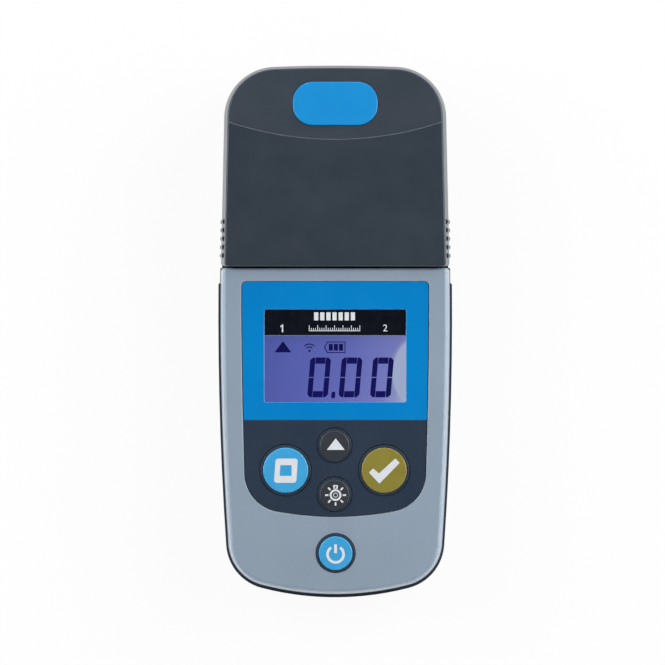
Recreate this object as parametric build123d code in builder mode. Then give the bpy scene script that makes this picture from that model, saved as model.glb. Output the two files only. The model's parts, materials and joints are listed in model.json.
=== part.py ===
from build123d import *
import os
from math import atan, cos, degrees, radians, sin, tan

# Portable colorimeter, lying on its back as it does in use, in millimetres.
# X is the width, +Y points to the cap end, +Z leaves the face, and the back lies at Z 0.

# Overall size of the case
case_length = 157.0
case_width = 69.0
case_depth = 34.0
case_wall = 2.6
side_radius = 1000.0
widest_y = 5.0
foot_radius = 100.0
case_corner = 14.0
head_corner = 14.0
half_length = case_length / 2
lip_half_width = case_width / 2

# Heights above the table
back_wall = 2.2
deck_z = 10.0
parting_z = 16.0
face_z = 32.0
face_wall = 2.4
face_inside_z = face_z - face_wall

# Draft and set-back of the two shells, measured from the lip at the parting line
back_inset = 1.8
rear_inset = 0.5
front_inset = 0.65
front_top_inset = 1.4
front_foot_set_back = 0.25
rear_head_set_back = 0.5
back_edge_radius = 2.5
front_edge_radius = 1.0
shell_end_y = 18.65
shell_corner = 1.1
face_edge = 0.15
lip_height = 2.8
lip_end_y = 14.2
lip_width = 1.3
lip_end_radius = 0.5

# Cap: a deep hood over the cell compartment
cap_gap = 0.45
cap_seat_gap = 0.15
cap_side_set_back = 0.75
cap_head_narrowing = 1.25
cap_draft = 1.1
cap_wall = 2.3
cap_edge_radius = 0.6
cap_foot_corner = 1.1
cap_head_corner = 15.2
cap_head_bow = 1.2
cap_head_length = 21.9
crease_radius = 98.6
crease_step = 0.4
crease_bevel = 0.22
cap_slope = 13.0
rib_count = 5
rib_pitch = 2.5
rib_set_back = 3.2
rib_radius = 0.85
rib_proud = 0.55
rib_height = 15.0
rib_z = 20.0
badge_width = 25.0
badge_height = 13.2
badge_corner = 6.0
badge_thick = 0.9
badge_depth = 0.5
badge_from_head = 11.5
badge_edge = 0.3

# Cell compartment and its well
deck_thick = 2.0
deck_seal_thick = 0.6
deck_foot_y = 14.6
deck_gap = 0.2
ledge_thick = 2.0
ledge_width = 1.5
tower_gap = 1.6
tower_length = 38.0
tower_corner = 8.0
tower_headroom = 5.2
tower_wall = 2.0
tower_roof = 2.2
tower_edge_radius = 1.2
well_from_head = 31.5
well_radius = 12.8
well_wall = 1.6
well_floor_z = 4.2
well_floor_thick = 1.4
well_chamfer = 0.8
deck_screw_x = (21.5, 26.9)
deck_screw_from_head = 9.0
deck_screw_from_foot = 7.25
deck_post_radius = 2.3
cap_seal_width = 1.5
cap_seal_height = 1.2
cap_seal_gap = 0.3

# Optics on both sides of the well, along X
beam_z = 12.3
beam_radius = 2.5
port_radius = 5.5
port_pocket_radius = 3.6
port_step = 1.5
port_length = 3.7
window_disc_thick = 1.2
holder_size = 12.0
holder_length = 7.0
holder_corner = 1.0
lens_radius = 2.9
lens_thick = 1.6
lamp_radius = 1.5
lamp_length = 3.2
lamp_dome_radius = 1.35
lamp_flange_radius = 1.9
lamp_flange_thick = 1.0
filter_radius = 3.4
filter_thick = 2.0
diode_radius = 4.1
diode_length = 4.0
small_board_size = 12.0
small_board_thick = 1.2
slip_fit = 0.1
ribbon_width = 4.0
ribbon_shift = 1.6
ribbon_thick = 0.6
ribbon_floor_z = 4.6
ribbon_turn = 1.5
ribbon_end_y = 12.0

# Panel on the face: blue display plate above, dark key plate below
panel_half_width = 27.7
panel_side_radius = 1700.0
panel_head_y = 14.8
panel_foot_y = -54.7
panel_split_y = -26.15
panel_foot_corner = 11.5
panel_head_corner = 1.6
panel_depth = 1.0
panel_thick = 0.8
panel_edge = 0.12
panel_gap = 0.25

# Display
display_width = 41.7
display_height = 27.3
display_y = -7.2
display_corner = 0.5
header_height = 7.7
header_thick = 0.3
window_overhang = 1.9
window_thick = 1.2
window_ledge = 1.4
window_gap = 0.1
window_rib_width = 1.6
window_rib_corner = 2.0
view_margin = 0.4
glass_width = 44.0
glass_height = 23.0
glass_y = -10.9
glass_thick = 2.2
light_guide_thick = 3.0
frame_wall = 1.4
frame_top_gap = 0.2
strip_width = 1.2

# Main board
board_z = 21.0
board_thick = 1.6
board_width = 47.0
board_head_y = 13.4
board_foot_y = -61.5
board_tail_width = 24.0
board_tail_y = -71.0
board_corner = 2.0
board_post_radius = 2.4
board_post_hole = 1.0
board_post_spots = [(-20.6, 9.3), (20.6, 9.3), (-20.6, -57.8), (20.6, -57.8)]
processor_spot = (9.0, -38.0)
processor_size = 10.0
processor_thick = 1.4
radio_spot = (-9.0, -20.0)
radio_width = 12.0
radio_length = 16.0
radio_thick = 2.2

# Keys: name, place, ring radius, cap radius
keys = [
    ("zero", (-14.6, -40.9), 7.45, 6.65),
    ("read", (14.4, -40.9), 7.45, 6.65),
    ("up", (-0.2, -33.6), 5.05, 4.4),
    ("light", (-0.2, -48.0), 5.05, 4.4),
    ("power", (0.1, -65.3), 5.7, 4.95),
]
key_proud = 0.2
key_cap_proud = 0.4
key_cap_thick = 1.2
key_cap_edge = 0.35
key_gap = 0.15
key_travel = 0.8
key_flange = 0.9
key_flange_thick = 0.9
key_flange_gap = 0.2
key_stem_radius = 2.2
key_edge = 0.25
mat_thick = 1.0
mat_margin = 2.0
mat_corner = 4.0
switch_size = 6.0
switch_height = 3.0
switch_pin_radius = 1.6
switch_pin_gap = 0.1
switch_pin_rise = 1.2
switch_pin_depth = 1.6

# Batteries lie side by side behind a cover in the back
battery_count = 4
battery_radius = 5.25
battery_length = 43.3
battery_nub_radius = 1.9
battery_nub_length = 1.2
battery_gap = 0.5
battery_edge = 0.5
battery_floor_z = 3.1
battery_y = -36.0
contact_thick = 0.5
contact_size = 9.0
spring_length = 5.5
spring_radius = 2.8
spring_wire = 0.25
spring_turns = 3.5
bay_wall = 1.6
bay_roof = 1.6
bay_side_gap = 0.75
bay_roof_gap = 0.5
cover_land = 3.2
cover_thick = 2.0
cover_low_z = 0.1
cover_rest_gap = 0.1
cover_gap = 0.15
cover_corner = 4.0
cover_tab_radius = 4.4
cover_tab_reach = 1.6
cover_seal_width = 1.3
cover_seal_thick = 0.8
cover_grip_count = 5
cover_grip_pitch = 2.2
cover_grip_length = 16.0
cover_grip_depth = 0.5
cover_grip_width = 1.0
pin_radius = 0.5
pin_hole_gap = 0.2
pin_overlap = 1.5

# Fasteners
case_screw_spots = [(-27.2, 4.5), (27.2, 4.5), (-19.3, -69.3), (19.3, -69.3)]
case_boss_radius = 3.0
case_head_radius = 2.4
case_head_height = 1.8
case_head_depth = 2.8
case_screw_radius = 1.25
case_screw_end_z = 21.6
screw_hole_gap = 0.25
insert_radius = 2.1
insert_length = 5.0
insert_fit = 0.02
insert_thread_gap = 0.12
cover_head_radius = 2.3
cover_head_height = 1.2
cover_head_depth = 1.3
cover_screw_end_z = 8.2
cover_insert_length = 4.0
deck_head_radius = 2.0
deck_head_height = 1.3
deck_screw_radius = 1.1
deck_screw_length = 6.0
board_head_radius = 1.8
board_head_height = 1.1
board_screw_radius = 0.9
board_screw_reach = 4.5
cross_width = 0.6
cross_share = 1.3
cross_depth = 0.6

# Seal between the shells
seal_width = 1.2
seal_groove_gap = 0.1
seal_depth = 0.8
seal_inset = 0.75

# Worked-out places
ledge_top_z = deck_z - deck_thick - deck_seal_thick
cap_foot_y = shell_end_y + cap_gap
cap_low_z = deck_z + cap_seat_gap
cap_low_half_width = lip_half_width - cap_side_set_back
cap_high_half_width = cap_low_half_width - cap_head_narrowing
cap_ceiling_z = case_depth - cap_wall
crease_y = half_length - cap_head_length
rib_first_y = cap_foot_y + rib_set_back
badge_y = half_length - badge_from_head
well_y = half_length - well_from_head
tower_width = 2 * (cap_high_half_width - cap_draft - cap_wall - tower_gap)
tower_top_z = cap_ceiling_z - tower_headroom
deck_screw_spots = [
    (-deck_screw_x[0], half_length - deck_screw_from_head),
    (deck_screw_x[0], half_length - deck_screw_from_head),
    (-deck_screw_x[1], shell_end_y + deck_screw_from_foot),
    (deck_screw_x[1], shell_end_y + deck_screw_from_foot),
]
bay_width = battery_count * (2 * battery_radius + battery_gap) - battery_gap + 2 * bay_side_gap
bay_length = battery_length + battery_nub_length + spring_length + 2 * contact_thick
bay_roof_z = battery_floor_z + 2 * battery_radius + bay_roof_gap
battery_z = battery_floor_z + battery_radius
cover_width = bay_width + 2 * cover_land
cover_length = bay_length + 2 * cover_land
cover_tab_spots = [
    (0.0, battery_y + cover_length / 2 + cover_tab_reach),
    (0.0, battery_y - cover_length / 2 - cover_tab_reach),
]
battery_pitch = 2 * battery_radius + battery_gap
outer_battery_x = (battery_count - 1) / 2 * battery_pitch
pin_y = battery_y - bay_length / 2 + contact_thick + pin_radius
pin_spots = [(-outer_battery_x, pin_y), (outer_battery_x, pin_y)]
cover_land_z = cover_low_z + cover_thick + cover_rest_gap
panel_floor_z = face_z - panel_depth
panel_top_z = panel_floor_z + panel_thick
window_low_z = panel_floor_z - window_thick
window_width = display_width + 2 * window_overhang
window_height = display_height + 2 * window_overhang
board_top_z = board_z + board_thick
guide_top_z = board_top_z + light_guide_thick
glass_top_z = guide_top_z + glass_thick
mat_low_z = face_inside_z - mat_thick
flange_top_z = mat_low_z - key_flange_gap
flange_low_z = flange_top_z - key_flange_thick
switch_top_z = board_top_z + switch_height
stem_low_z = switch_top_z + switch_pin_rise
optics_reach = well_radius + port_length
holder_end = optics_reach + holder_length

os.makedirs("parts", exist_ok=True)


def save(part, name):
    """Labels a finished piece and writes it under its own name."""
    part.label = name
    export_step(part, f"parts/{name}.step")


# Outlines that several pieces share


def arched_face(half_width, bow_radius, bow_y, foot_y, foot_bow, head_y, foot_round, head_round):
    """Outline with bowed sides and foot, a straight head and four rounded corners."""

    def side(y):
        return half_width - (y - bow_y) ** 2 / (2 * bow_radius)

    corner_y = foot_y + half_width**2 / (2 * foot_bow)
    middle_y = (corner_y + head_y) / 2
    with BuildSketch() as face:
        with BuildLine():
            foot = ThreePointArc(
                (-side(corner_y), corner_y), (0, foot_y), (side(corner_y), corner_y)
            )
            right = ThreePointArc(foot @ 1, (side(middle_y), middle_y), (side(head_y), head_y))
            head = Line(right @ 1, (-side(head_y), head_y))
            ThreePointArc(head @ 1, (-side(middle_y), middle_y), foot @ 0)
        make_face()
        fillet(face.vertices().sort_by(Axis.Y)[-2:], head_round)
        fillet(face.vertices().sort_by(Axis.Y)[:2], foot_round)
    return face.sketch


def case_face(inset, head_y, head_round, foot_set_back=0.0):
    """Outline of the case, a given distance inside the lip."""
    return arched_face(
        lip_half_width - inset,
        side_radius,
        widest_y,
        inset + foot_set_back - half_length,
        foot_radius,
        head_y,
        case_corner - inset,
        head_round,
    )


def rear_face(inset):
    """Outline of the rear shell, which runs on under the cap."""
    return case_face(
        inset, half_length - rear_head_set_back - inset, head_corner - inset
    )


def cap_face(inset, foot_inset=0.0):
    """Outline of the cap: straight sides that close in a little towards a bowed head."""
    head_y = half_length - inset
    head_x = cap_high_half_width - inset
    foot_x = cap_low_half_width - inset
    foot_y = cap_foot_y + foot_inset
    with BuildSketch() as face:
        with BuildLine():
            Line((-foot_x, foot_y), (foot_x, foot_y))
            Line((foot_x, foot_y), (head_x, head_y - cap_head_bow))
            ThreePointArc(
                (head_x, head_y - cap_head_bow), (0, head_y), (-head_x, head_y - cap_head_bow)
            )
            Line((-head_x, head_y - cap_head_bow), (-foot_x, foot_y))
        make_face()
        fillet(face.vertices().sort_by(Axis.Y)[-2:], cap_head_corner - inset)
        fillet(face.vertices().sort_by(Axis.Y)[:2], cap_foot_corner)
    return face.sketch


def panel_face(inset):
    """Outline of the recess in the face that holds the display and key plates."""
    return arched_face(
        panel_half_width - inset,
        panel_side_radius,
        panel_head_y,
        panel_foot_y + inset,
        foot_radius,
        panel_head_y - inset,
        panel_foot_corner - inset,
        panel_head_corner - inset,
    )


def drafted(low_z, low_face, high_z, high_face):
    """Solid between two outlines, as a moulded shell's drafted wall gives it."""
    with BuildPart() as block:
        with BuildSketch(Plane.XY.offset(low_z)):
            add(low_face)
        with BuildSketch(Plane.XY.offset(high_z)):
            add(high_face)
        loft()
    return block.part


def upright(low_z, face, height):
    """Solid raised straight up from an outline."""
    with BuildPart() as block:
        with BuildSketch(Plane.XY.offset(low_z)):
            add(face)
        extrude(amount=height)
    return block.part


def ring_of(outer, inner, low_z, height):
    """Flat ring between two outlines."""
    with BuildPart() as ring:
        with BuildSketch(Plane.XY.offset(low_z)):
            add(outer)
            add(inner, mode=Mode.SUBTRACT)
        extrude(amount=height)
    return ring.part


def above_line(y):
    """Block that covers all that lies on the cap's side of a line across the case."""
    with BuildPart() as block:
        with Locations((0, y + case_length / 2, case_depth / 2)):
            Box(2 * case_width, case_length, 2 * case_depth)
    return block.part


def below_line(y):
    """Block that covers all that lies on the foot's side of a line across the case."""
    with BuildPart() as block:
        with Locations((0, y - case_length / 2, case_depth / 2)):
            Box(2 * case_width, case_length, 2 * case_depth)
    return block.part


def screws(spots, head_z, head_radius, head_height, radius, length, upward):
    """Cross-recessed screws at all spots; the shanks run up or down from the head's seat."""
    way = 1 if upward else -1
    with BuildPart() as group:
        with BuildSketch(Plane.XY.offset(head_z)):
            with Locations(*spots):
                Circle(head_radius)
        extrude(amount=-way * head_height)
        with BuildSketch(Plane.XY.offset(head_z)):
            with Locations(*spots):
                Circle(radius)
        extrude(amount=way * length)
        with BuildSketch(Plane.XY.offset(head_z - way * head_height)):
            with Locations(*spots):
                Rectangle(cross_share * head_radius, cross_width)
                Rectangle(cross_width, cross_share * head_radius)
        extrude(amount=way * cross_depth, mode=Mode.SUBTRACT)
    return group.part


def inserts(spots, low_z, length, thread_radius):
    """Brass threaded sleeves at all spots."""
    with BuildPart() as group:
        with BuildSketch(Plane.XY.offset(low_z)):
            with Locations(*spots):
                Circle(insert_radius)
                Circle(thread_radius + insert_thread_gap, mode=Mode.SUBTRACT)
        extrude(amount=length)
    return group.part


def cover_face(gap):
    """Outline of the battery cover with its two screw tabs, widened by a gap."""
    with BuildSketch() as face:
        with Locations((0, battery_y)):
            RectangleRounded(cover_width + 2 * gap, cover_length + 2 * gap, cover_corner + gap)
        with Locations(*cover_tab_spots):
            Circle(cover_tab_radius + gap)
    return face.sketch


# Rear shell


def wall_inset(z):
    """How far the rear shell's outer wall lies inside the lip at a height."""
    return back_inset + (rear_inset - back_inset) * z / parting_z


rear_outside = drafted(0, rear_face(back_inset), parting_z, rear_face(rear_inset))
rear_inside = drafted(
    back_wall,
    rear_face(wall_inset(back_wall) + case_wall),
    parting_z,
    rear_face(rear_inset + case_wall),
)
lip_strip = ring_of(
    case_face(0, lip_end_y, lip_end_radius),
    case_face(lip_width, shell_end_y, lip_end_radius),
    parting_z - lip_height,
    lip_height,
)
ledge_ring = ring_of(
    rear_face(wall_inset(ledge_top_z) + case_wall / 2),
    rear_face(wall_inset(ledge_top_z) + case_wall + ledge_width),
    ledge_top_z - ledge_thick,
    ledge_thick,
)

with BuildPart() as rear_housing:
    add(rear_outside)
    fillet(rear_housing.faces().sort_by(Axis.Z)[0].edges(), back_edge_radius)
    add(rear_inside, mode=Mode.SUBTRACT)
    add(lip_strip)
    # The walls beside the cap stop at the deck
    with Locations((0, shell_end_y + case_length / 2, deck_z + case_depth / 2)):
        Box(2 * case_width, case_length, case_depth, mode=Mode.SUBTRACT)
    # Ledge and screw posts that carry the cell compartment
    add(ledge_ring & above_line(deck_foot_y))
    with BuildSketch(Plane.XY.offset(back_wall / 2)):
        with Locations(*deck_screw_spots):
            Circle(deck_post_radius)
    extrude(amount=ledge_top_z - back_wall / 2)
    # Battery bay and the land for its cover
    with BuildSketch(Plane.XY):
        add(cover_face(cover_gap + bay_wall))
    extrude(amount=cover_land_z + cover_seal_thick + bay_wall)
    with BuildSketch(Plane.XY):
        with Locations((0, battery_y)):
            Rectangle(bay_width + 2 * bay_wall, bay_length + 2 * bay_wall)
        with Locations(*cover_tab_spots):
            Circle(insert_radius + bay_wall)
    extrude(amount=cover_screw_end_z + bay_wall)
    with BuildSketch(Plane.XY):
        with Locations((0, battery_y)):
            Rectangle(bay_width + 2 * bay_wall, bay_length + 2 * bay_wall)
    extrude(amount=bay_roof_z + bay_roof)
    with BuildSketch(Plane.XY):
        add(cover_face(cover_gap))
    extrude(amount=cover_land_z, mode=Mode.SUBTRACT)
    with BuildSketch(Plane.XY):
        with Locations((0, battery_y)):
            Rectangle(bay_width, bay_length)
    extrude(amount=bay_roof_z, mode=Mode.SUBTRACT)
    with BuildSketch(Plane.XY.offset(cover_land_z)):
        with Locations((0, battery_y)):
            RectangleRounded(
                bay_width + cover_land + cover_seal_width + 2 * cover_gap,
                bay_length + cover_land + cover_seal_width + 2 * cover_gap,
                cover_corner,
            )
            Rectangle(
                bay_width + cover_land - cover_seal_width - 2 * cover_gap,
                bay_length + cover_land - cover_seal_width - 2 * cover_gap,
                mode=Mode.SUBTRACT,
            )
    extrude(amount=cover_seal_thick, mode=Mode.SUBTRACT)
    with BuildSketch(Plane.XY.offset(cover_land_z)):
        with Locations(*cover_tab_spots):
            Circle(insert_radius + insert_fit)
    extrude(amount=cover_screw_end_z + screw_hole_gap - cover_land_z, mode=Mode.SUBTRACT)
    # Holes for the two battery pins
    with BuildSketch(Plane.XY.offset(bay_roof_z)):
        with Locations(*pin_spots):
            Circle(pin_radius + pin_hole_gap)
    extrude(amount=bay_roof, mode=Mode.SUBTRACT)
    # Case screw bosses, sunk for the heads
    with BuildSketch(Plane.XY.offset(back_wall / 2)):
        with Locations(*case_screw_spots):
            Circle(case_boss_radius)
    extrude(amount=parting_z - back_wall / 2)
    with BuildSketch(Plane.XY):
        with Locations(*case_screw_spots):
            Circle(case_screw_radius + screw_hole_gap)
    extrude(amount=parting_z, mode=Mode.SUBTRACT)
    with BuildSketch(Plane.XY):
        with Locations(*case_screw_spots):
            Circle(case_head_radius + screw_hole_gap)
    extrude(amount=case_head_depth, mode=Mode.SUBTRACT)
    # Pilot holes for the deck screws
    with BuildSketch(Plane.XY.offset(ledge_top_z)):
        with Locations(*deck_screw_spots):
            Circle(deck_screw_radius + slip_fit)
    extrude(amount=back_wall - ledge_top_z, mode=Mode.SUBTRACT)
save(rear_housing.part, "rear_housing")

# Front shell: silver, with the recess for the two plates


def front_face(inset, head_y, head_round):
    """Outline of the front shell, a given distance inside the lip."""
    return case_face(inset, head_y, head_round, front_foot_set_back)


front_outside = drafted(
    parting_z,
    front_face(front_inset, shell_end_y, shell_corner),
    face_z,
    front_face(front_top_inset, shell_end_y, shell_corner),
)
front_inside = drafted(
    parting_z,
    front_face(front_inset + case_wall, shell_end_y - case_wall, shell_corner),
    face_inside_z,
    front_face(front_top_inset + case_wall, shell_end_y - case_wall, shell_corner),
)
seal_channel = ring_of(
    front_face(front_inset + seal_inset, shell_end_y - seal_inset, shell_corner),
    front_face(
        front_inset + seal_inset + seal_width + 2 * seal_groove_gap,
        shell_end_y - seal_inset - seal_width - 2 * seal_groove_gap,
        shell_corner,
    ),
    parting_z,
    seal_depth,
)
end_wall_half_width = lip_half_width - rear_inset - case_wall - 2 * deck_gap - wall_inset(deck_z)

with BuildPart() as front_housing:
    add(front_outside)
    fillet(
        front_housing.faces().sort_by(Axis.Z)[-1].edges(), front_edge_radius
    )
    add(front_inside, mode=Mode.SUBTRACT)
    # The end wall beside the cap reaches down to the deck
    with Locations((0, shell_end_y - case_wall / 2, (deck_z + deck_gap + parting_z) / 2)):
        Box(2 * end_wall_half_width, case_wall, parting_z - deck_z - deck_gap)
    # Frame round the display window, posts for the board and bosses for the case screws
    with BuildSketch(Plane.XY.offset(face_inside_z - window_ledge + slip_fit)):
        with Locations((0, display_y)):
            RectangleRounded(
                window_width + 2 * window_rib_width,
                window_height + 2 * window_rib_width,
                window_rib_corner,
            )
    extrude(amount=window_ledge)
    with BuildSketch(Plane.XY.offset(board_top_z)):
        with Locations(*board_post_spots):
            Circle(board_post_radius)
    extrude(amount=face_inside_z - board_top_z)
    with BuildSketch(Plane.XY.offset(parting_z)):
        with Locations(*case_screw_spots):
            Circle(case_boss_radius)
    extrude(amount=face_inside_z - parting_z)
    # Recess for the plates, seat and opening of the window
    with BuildSketch(Plane.XY.offset(panel_floor_z)):
        add(panel_face(0))
    extrude(amount=panel_depth, mode=Mode.SUBTRACT)
    with BuildSketch(Plane.XY.offset(window_low_z)):
        with Locations((0, display_y)):
            Rectangle(window_width + 2 * window_gap, window_height + 2 * window_gap)
    extrude(amount=window_thick, mode=Mode.SUBTRACT)
    with BuildSketch(Plane.XY.offset(board_top_z)):
        with Locations((0, display_y)):
            Rectangle(display_width + 2 * view_margin, display_height + 2 * view_margin)
    extrude(amount=face_z - board_top_z, mode=Mode.SUBTRACT)
    # Key holes
    for name, spot, ring, cap in keys:
        with BuildSketch(Plane.XY.offset(face_inside_z)):
            with Locations(spot):
                Circle(ring + key_gap)
        extrude(amount=face_wall, mode=Mode.SUBTRACT)
    # Insert pockets, pilot holes and the channel for the seal
    with BuildSketch(Plane.XY.offset(parting_z)):
        with Locations(*case_screw_spots):
            Circle(insert_radius + insert_fit)
    extrude(amount=case_screw_end_z - parting_z + slip_fit, mode=Mode.SUBTRACT)
    with BuildSketch(Plane.XY.offset(board_top_z)):
        with Locations(*board_post_spots):
            Circle(board_post_hole)
    extrude(amount=board_screw_reach, mode=Mode.SUBTRACT)
    add(seal_channel & below_line(lip_end_y), mode=Mode.SUBTRACT)
    # Fine bevel round the recess and the hole of the power key
    face_openings = front_housing.faces().sort_by(Axis.Z)[-1].inner_wires()
    chamfer(face_openings.edges(), face_edge)
save(front_housing.part, "front_housing")

housing_seal_ring = ring_of(
    front_face(front_inset + seal_inset + seal_groove_gap, shell_end_y - seal_inset, shell_corner),
    front_face(
        front_inset + seal_inset + seal_groove_gap + seal_width,
        shell_end_y - seal_inset - seal_width,
        shell_corner,
    ),
    parting_z,
    seal_depth,
)
with BuildPart() as housing_seal:
    add(housing_seal_ring & below_line(lip_end_y - seal_groove_gap))
save(housing_seal.part, "housing_seal")

save(
    screws(
        case_screw_spots,
        case_head_depth,
        case_head_radius,
        case_head_height,
        case_screw_radius,
        case_screw_end_z - case_head_depth,
        True,
    ),
    "case_screws",
)
save(
    inserts(case_screw_spots, parting_z, insert_length, case_screw_radius),
    "case_inserts",
)

# Cell compartment: deck, tower and the well that takes the sample cell
deck_inset = wall_inset(ledge_top_z) + case_wall + deck_gap
deck_plate = upright(deck_z - deck_thick, rear_face(deck_inset), deck_thick)
tower_inner_width = tower_width - 2 * tower_wall
tower_inner_length = tower_length - 2 * tower_wall

with BuildPart() as cell_compartment:
    add(deck_plate & above_line(deck_foot_y))
    with BuildSketch(Plane.XY.offset(deck_z)):
        with Locations((0, well_y)):
            RectangleRounded(tower_width, tower_length, tower_corner)
    extrude(amount=tower_top_z - deck_z)
    fillet(cell_compartment.faces().sort_by(Axis.Z)[-1].edges(), tower_edge_radius)
    with BuildSketch(Plane.XY.offset(deck_z - deck_thick)):
        with Locations((0, well_y)):
            RectangleRounded(tower_inner_width, tower_inner_length, tower_corner - tower_wall)
    extrude(amount=tower_top_z - tower_roof - deck_z + deck_thick, mode=Mode.SUBTRACT)
    with BuildSketch(Plane.XY.offset(well_floor_z - well_floor_thick)):
        with Locations((0, well_y)):
            Circle(well_radius + well_wall)
    extrude(amount=tower_top_z - well_floor_z + well_floor_thick - tower_roof / 2)
    with BuildSketch(Plane.YZ.offset(-optics_reach)):
        with Locations((well_y, beam_z)):
            Circle(port_radius)
    extrude(amount=2 * optics_reach)
    with BuildSketch(Plane.XY.offset(well_floor_z)):
        with Locations((0, well_y)):
            Circle(well_radius)
    extrude(amount=tower_top_z - well_floor_z, mode=Mode.SUBTRACT)
    mouth = cell_compartment.edges().filter_by(GeomType.CIRCLE).filter_by_position(
        Axis.Z, tower_top_z - slip_fit, tower_top_z + slip_fit
    )
    chamfer(mouth.filter_by(lambda edge: abs(edge.radius - well_radius) < slip_fit), well_chamfer)
    # Light path through the wall, with pockets for the two windows
    with BuildSketch(Plane.YZ.offset(-optics_reach)):
        with Locations((well_y, beam_z)):
            Circle(beam_radius)
    extrude(amount=2 * optics_reach, mode=Mode.SUBTRACT)
    for side in (-1, 1):
        with BuildSketch(Plane.YZ.offset(side * optics_reach)):
            with Locations((well_y, beam_z)):
                Circle(port_pocket_radius)
        extrude(amount=-side * (port_length - port_step), mode=Mode.SUBTRACT)
    with BuildSketch(Plane.XY.offset(deck_z - deck_thick)):
        with Locations(*deck_screw_spots):
            Circle(deck_screw_radius + screw_hole_gap)
    extrude(amount=deck_thick, mode=Mode.SUBTRACT)
save(cell_compartment.part, "cell_compartment")

deck_seal_ring = ring_of(
    rear_face(deck_inset),
    rear_face(deck_inset + ledge_width - deck_gap),
    ledge_top_z,
    deck_seal_thick,
)
with BuildPart() as deck_seal:
    add(deck_seal_ring & above_line(deck_foot_y))
save(deck_seal.part, "deck_seal")

save(
    screws(
        deck_screw_spots,
        deck_z,
        deck_head_radius,
        deck_head_height,
        deck_screw_radius,
        deck_screw_length,
        False,
    ),
    "deck_screws",
)


def port_disc(side, radius, thick, reach):
    """Disc across the light path, its inner face at a distance from the well's axis."""
    with BuildPart() as disc:
        with BuildSketch(Plane.YZ.offset(side * reach)):
            with Locations((well_y, beam_z)):
                Circle(radius)
        extrude(amount=side * thick)
    return disc.part


well_window_reach = well_radius + port_step
with BuildPart() as well_windows:
    for side in (-1, 1):
        add(port_disc(side, port_pocket_radius - slip_fit, window_disc_thick, well_window_reach))
save(well_windows.part, "well_windows")


def optics_holder(side, pocket_radius, pocket_depth, bore_radius, rear_radius, rear_depth):
    """Block behind a port: a pocket at the port, a bore, and a wider seat at the board."""
    with BuildPart() as holder:
        with BuildSketch(Plane.YZ.offset(side * optics_reach)):
            with Locations((well_y, beam_z)):
                Rectangle(holder_size, holder_size)
        extrude(amount=side * holder_length)
        fillet(holder.edges().filter_by(Axis.X), holder_corner)
        with BuildSketch(Plane.YZ.offset(side * optics_reach)):
            with Locations((well_y, beam_z)):
                Circle(bore_radius)
        extrude(amount=side * holder_length, mode=Mode.SUBTRACT)
        with BuildSketch(Plane.YZ.offset(side * optics_reach)):
            with Locations((well_y, beam_z)):
                Circle(pocket_radius)
        extrude(amount=side * pocket_depth, mode=Mode.SUBTRACT)
        with BuildSketch(Plane.YZ.offset(side * holder_end)):
            with Locations((well_y, beam_z)):
                Circle(rear_radius)
        extrude(amount=-side * rear_depth, mode=Mode.SUBTRACT)
    return holder.part


save(
    optics_holder(
        -1,
        lens_radius + slip_fit,
        lens_thick,
        lamp_radius + slip_fit,
        lamp_flange_radius + slip_fit,
        lamp_flange_thick,
    ),
    "lamp_holder",
)
save(
    optics_holder(
        1,
        filter_radius + slip_fit,
        filter_thick,
        beam_radius,
        diode_radius + slip_fit,
        diode_length,
    ),
    "detector_holder",
)

with BuildPart() as lamp_lens:
    with BuildSketch(Plane.YZ.offset(-optics_reach - lens_thick)):
        with Locations((well_y, beam_z)):
            Circle(lens_radius)
    extrude(amount=lens_thick)
    fillet(lamp_lens.faces().sort_by(Axis.X)[-1].edges(), lens_thick / 2)
save(lamp_lens.part, "lamp_lens")

with BuildPart() as lamp:
    with BuildSketch(Plane.YZ.offset(-holder_end)):
        with Locations((well_y, beam_z)):
            Circle(lamp_flange_radius)
    extrude(amount=lamp_flange_thick)
    with BuildSketch(Plane.YZ.offset(-holder_end)):
        with Locations((well_y, beam_z)):
            Circle(lamp_radius)
    extrude(amount=lamp_flange_thick + lamp_length)
    fillet(lamp.faces().sort_by(Axis.X)[-1].edges(), lamp_dome_radius)
save(lamp.part, "led_lamp")

save(port_disc(1, filter_radius, filter_thick, optics_reach), "wavelength_filter")
save(
    port_disc(1, diode_radius, diode_length, holder_end - diode_length), "photodiode"
)


def small_board(side):
    """Small circuit board upright behind an optics holder."""
    with BuildPart() as board:
        with BuildSketch(Plane.YZ.offset(side * holder_end)):
            with Locations((well_y, beam_z)):
                Rectangle(small_board_size, small_board_size)
        extrude(amount=side * small_board_thick)
    return board.part


with BuildPart() as optics_boards:
    for side in (-1, 1):
        add(small_board(side))
save(optics_boards.part, "optics_boards")


def ribbon(side):
    """Flat ribbon from a small board's foot, under the deck and up to the main board."""
    start_z = beam_z - small_board_size / 2
    with BuildPart() as strip:
        with BuildSketch(Plane.YZ.offset(side * (holder_end + small_board_thick / 2 - ribbon_shift))):
            with BuildLine():
                FilletPolyline(
                    (well_y, start_z),
                    (well_y, ribbon_floor_z),
                    (ribbon_end_y, ribbon_floor_z),
                    (ribbon_end_y, board_z),
                    radius=ribbon_turn,
                )
                offset(amount=ribbon_thick / 2)
            make_face()
        extrude(amount=ribbon_width / 2, both=True)
        # The strip ends square against both boards
        with Locations((0, well_y, start_z + ribbon_thick), (0, ribbon_end_y, board_z + ribbon_thick)):
            Box(case_width, 2 * ribbon_thick, 2 * ribbon_thick, mode=Mode.SUBTRACT)
    return strip.part


with BuildPart() as optics_ribbons:
    for side in (-1, 1):
        add(ribbon(side))
save(optics_ribbons.part, "optics_ribbons")

# Light seal on the deck, inside the foot of the cap


def cap_inset(z):
    """How far the cap's drafted wall lies inside its foot at a height."""
    return cap_draft * (z - cap_low_z) / (case_depth - cap_low_z)


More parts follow.
